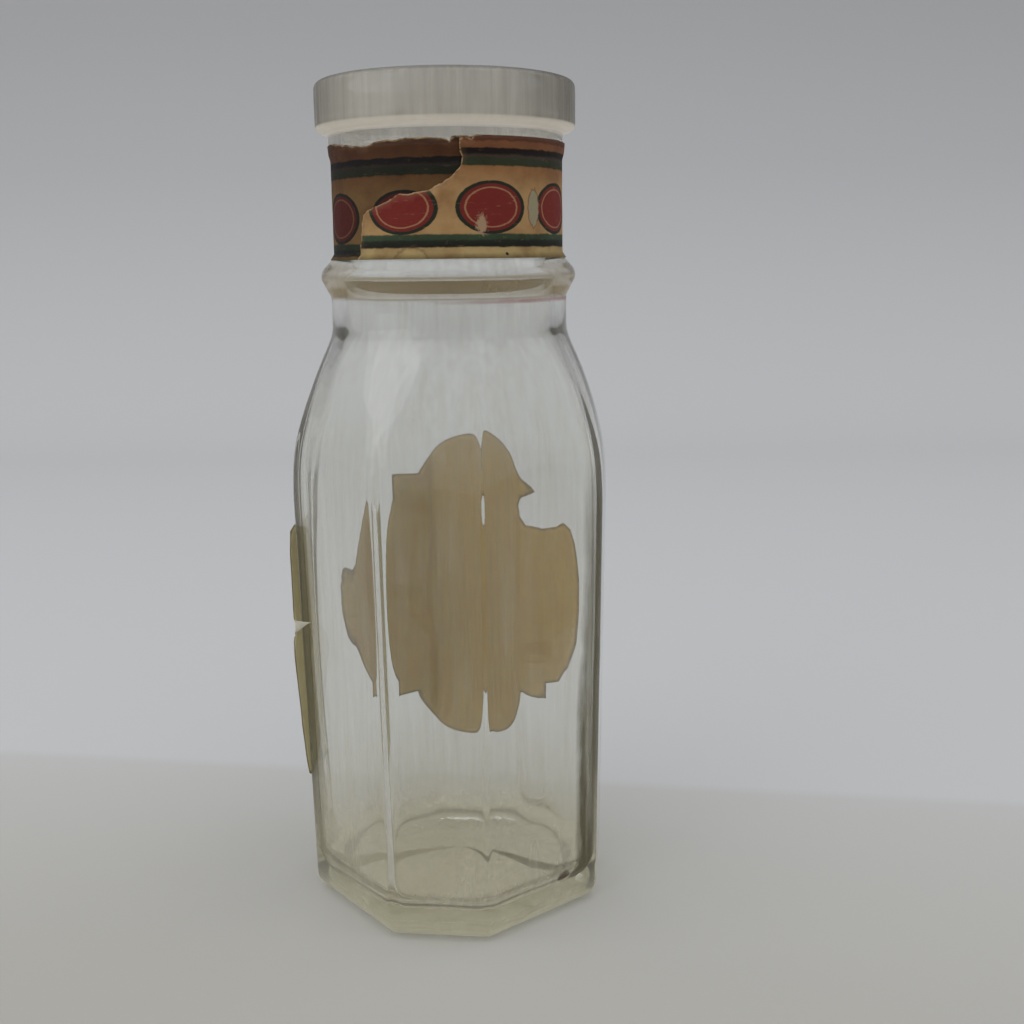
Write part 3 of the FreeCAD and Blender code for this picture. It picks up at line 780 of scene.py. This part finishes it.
def back_print(add, spot, edge, torn):
    """Cream paper with a dark green line and a thin red line along its border, foxed brown."""
    foxing = grain(add, spot, (1, 1, 1), 0.22, 5.0, 0.6)
    rub = grain(add, spot, (1, 0.3, 1), 1.5, 5.0, 0.7)
    wander = grain(add, spot, (1, 1, 1), 0.3, 3.0)
    colour = blend(add, spread(add, foxing, 0.4, 0.7), (0.455, 0.332, 0.178), (0.314, 0.200, 0.086))
    worn = spread(add, rub, 0.66, 0.52)
    green = product(add, zone(add, edge, 1.6, 1.8, 3.0, 3.2), worn)
    red = product(add, zone(add, edge, 4.0, 4.15, 4.55, 4.7), worn)
    colour = blend(add, green, colour, (0.023, 0.045, 0.023))
    colour = blend(add, red, colour, (0.196, 0.022, 0.014))
    colour = blend(add, spread(add, torn, 0.8, 0.25), colour, (0.487, 0.369, 0.217))
    colour = blend(add, spread(add, edge, 0.7, 0.0, 0.0, 0.5), colour, (0.173, 0.104, 0.046))
    return colour, product(add, wander, 2.0)


half, stub, low, top = 21.4, 4.8, 40.5, 106.5
left_arc = arc_between((-half, top - 7.0), (-half, low + stub), 10.0)
back_runs = [
    (0.0, [(-half, low), *arc_between((-half + stub, low), (half - stub, low), 14.5)]),
    (0.3, [(half - stub + 1.0, low + 0.6), (half - 1.5, low - 0.2)]),
    (0.0, [(half, low), (half, low + stub), (26.6, 47.6), (29.6, 52.5), (31.2, 60.0),
           (31.8, 70.0), (31.8, 79.0), (31.2, 84.0), (30.4, 88.6), (28.8, 92.6)]),
    (0.25, [(26.6, 94.0), (24.6, 92.4), (21.6, 90.9), (18.6, 91.6), (16.6, 93.8), (16.0, 96.8),
            (17.0, 99.4), (19.8, 101.6), (17.4, 104.4), (15.6, 107.4)]),
    (0.0, [(14.4, 109.6)]),
    (0.0, [*arc_between((half - stub, top), (-half + stub, top), 10.4)[4:], (-half, top),
           (-half, top - 7.0)]),
    (0.3, [(x + 0.08 * (14 - i), z) for i, (x, z) in enumerate(left_arc[2:14])]),
    (0.0, left_arc[15:]),
]  # fmt: skip
off_centre = 1.0
mirrored = [(tear, [(off_centre - x, z) for x, z in points]) for tear, points in back_runs]
back_label = shelf("back_paper", sheet_mesh("back_paper", mirrored, 12.4, on_flats(90)))
back_paste = ((0.76, 0.52, 0.15), (0.66, 0.44, 0.105), (0.70, 0.37, 0.11))
back_label.data.materials.append(paper_finish("back_paper", back_print, back_paste, 0.3))
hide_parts("back_label")
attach(back_label, "root")

# ------------------------------------------------------------------ side label
# A plain paper label on the left flat. Its front edge has come unstuck and stands out past the
# corner of the glass, torn across once, with a small tab of it folded back over the corner.
def side_print(add, spot, edge, torn):
    foxing = grain(add, spot, (1, 1, 1), 0.2, 5.0, 0.6)
    wander = grain(add, spot, (1, 1, 1), 0.3, 3.0)
    colour = blend(add, spread(add, foxing, 0.4, 0.7), (0.441, 0.377, 0.217), (0.361, 0.295, 0.152))
    line = product(add, zone(add, edge, 1.9, 2.05, 2.85, 3.0), 0.8)
    colour = blend(add, line, colour, (0.040, 0.067, 0.033))
    colour = blend(add, spread(add, torn, 2.4, 1.2), colour, (0.80, 0.78, 0.66))
    return colour, product(add, wander, 2.0)


tab_foot, tab_head, tab_crease = 73.4, 77.6, 18.7


def stand_out(points, lift):
    """On the left flat, and straight on past its front corner. The tab folds back to the right."""
    across, z = points.T
    face = broad_flat + z * flare
    in_tab = (z > tab_foot) & (z < tab_head)
    folded = np.where(in_tab, np.maximum(across - tab_crease, 0), 0)
    out = face + lift - 0.95 * folded
    return np.stack([-out, -across + folded * 0.9, z], axis=1)


side_runs = [
    (0.0, [(-12.8, 31.0), (9.0, 31.0), (13.6, 33.6), (15.2, 38.0), (17.2, 48.0), (18.9, 60.0),
           (20.2, 68.0)]),
    (0.2, [(20.0, 72.0), (18.6, 73.9), (23.4, 76.9), (18.6, 77.2)]),
    (0.0, [(18.8, 77.8), (18.6, 86.0), (18.2, 95.0), (17.0, 100.2), (13.0, 101.0),
           (-12.8, 101.0)]),
]  # fmt: skip
side_label = shelf("side_paper", sheet_mesh("side_paper", side_runs, 17.2, stand_out))
# painted light: the pasted side is coloured much paler than the printed face, to light it where it
# lies in shade, as on the flap standing out past the corner
side_paste_painted_light = ((0.93, 0.89, 0.64), (0.86, 0.80, 0.52), (0.78, 0.68, 0.42))
side_label.data.materials.append(paper_finish("side_paper", side_print, side_paste_painted_light, 0.5))
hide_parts("side_label")
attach(side_label, "root")

# ------------------------------------------------------------------ room and camera
# A pale sweep stands behind and under the jar. The lamps are large and soft.
def sweep_mesh():
    """A floor that curves up into a back wall."""
    half, front, back, bend, top = 2.2, -1.6, 0.75, 0.45, 2.4
    line = [(front, 0.0), (back, 0.0)]
    line += [
        (back + bend * math.sin(t), bend * (1 - math.cos(t)))
        for t in np.linspace(0, math.pi / 2, 24)[1:]
    ]
    line.append((back + bend, top))
    points = [(x, y, z) for y, z in line for x in (-half, half)]
    faces = [(2 * i, 2 * i + 1, 2 * i + 3, 2 * i + 2) for i in range(len(line) - 1)]
    mesh = bpy.data.meshes.new("sweep")
    mesh.from_pydata(points, [], faces)
    mesh.polygons.foreach_set("use_smooth", [True] * len(faces))
    return mesh


def sweep_finish():
    """Pale paper, warmer from the front up to a soft line just behind the jar."""
    material, add = finish_named("sweep_paper")
    place = add("TexCoord").outputs["Object"]
    x, y, height = add("SeparateXYZ", {"Vector": place}).outputs
    wall_tone = ramp(
        add,
        spread(add, height, 0.0, 0.9),
        [(0.0, (0.49, 0.49, 0.49)), (0.3, (0.42, 0.42, 0.425)), (1.0, (0.40, 0.40, 0.41))],
    )
    behind = total(add, product(add, y, 0.989), product(add, x, 0.155))
    near_tone = ramp(
        add,
        spread(add, behind, -0.14, 0.06),
        [(0.0, (0.36, 0.345, 0.30)), (1.0, (0.455, 0.45, 0.435))],
    )
    tone = blend(add, spread(add, behind, 0.067, 0.061), wall_tone, near_tone)
    shader = add("BsdfDiffuse", {"Color": tone})
    add("OutputMaterial", {"Surface": shader.outputs[0]})
    return material


sweep = shelf("sweep", sweep_mesh())
sweep.rotation_euler = (0, 0, math.radians(6))
sweep.data.materials.append(sweep_finish())

world = bpy.data.worlds.new("room")
bpy.context.scene.world = world
world.use_nodes = True
sky = world.node_tree
rise = sky.nodes.new("ShaderNodeSeparateXYZ")
sky.links.new(sky.nodes.new("ShaderNodeTexCoord").outputs["Generated"], rise.inputs[0])
fall = sky.nodes.new("ShaderNodeValToRGB")
fall.color_ramp.elements[0].position = 0.05
fall.color_ramp.elements[0].color = (0.46, 0.46, 0.455, 1)
fall.color_ramp.elements[1].position = 0.75
fall.color_ramp.elements[1].color = (0.84, 0.86, 0.90, 1)
sky.links.new(rise.outputs["Z"], fall.inputs["Fac"])
sky.links.new(fall.outputs["Color"], sky.nodes["Background"].inputs["Color"])
sky.nodes["Background"].inputs["Strength"].default_value = 1.2


def lamp(name, place, aim, size, watts):
    light = bpy.data.lights.new(name, "AREA")
    light.shape = "RECTANGLE"
    light.size, light.size_y = size
    light.energy = watts
    made = bpy.data.objects.new(name, light)
    bpy.context.scene.collection.objects.link(made)
    made.location = place
    made.rotation_euler = (Vector(place) - Vector(aim)).to_track_quat("Z", "Y").to_euler()


lamp("overhead", (0.1, 0.0, 1.7), (0, 0, 0.1), (2.2, 2.2), 8.0)
lamp("left_window", (-1.2, -0.9, 0.9), (0, 0, 0.12), (1.5, 1.5), 6.0)

eye = bpy.data.cameras.new("eye")
eye.lens, eye.sensor_width = 43.95, 36.0
camera = bpy.data.objects.new("eye", eye)
bpy.context.scene.collection.objects.link(camera)
ahead = Vector((-0.10246, 0.97441, -0.20005))
upward = Vector((-0.00828, 0.20026, 0.97971))
across = ahead.cross(upward)
camera.matrix_world = Matrix.Translation(Vector((48.74, -318.29, 167.48)) * mm) @ Matrix(
    (across, upward, -ahead)
).transposed().to_4x4()
bpy.context.scene.camera = camera
bpy.context.scene.view_settings.view_transform = "Standard"
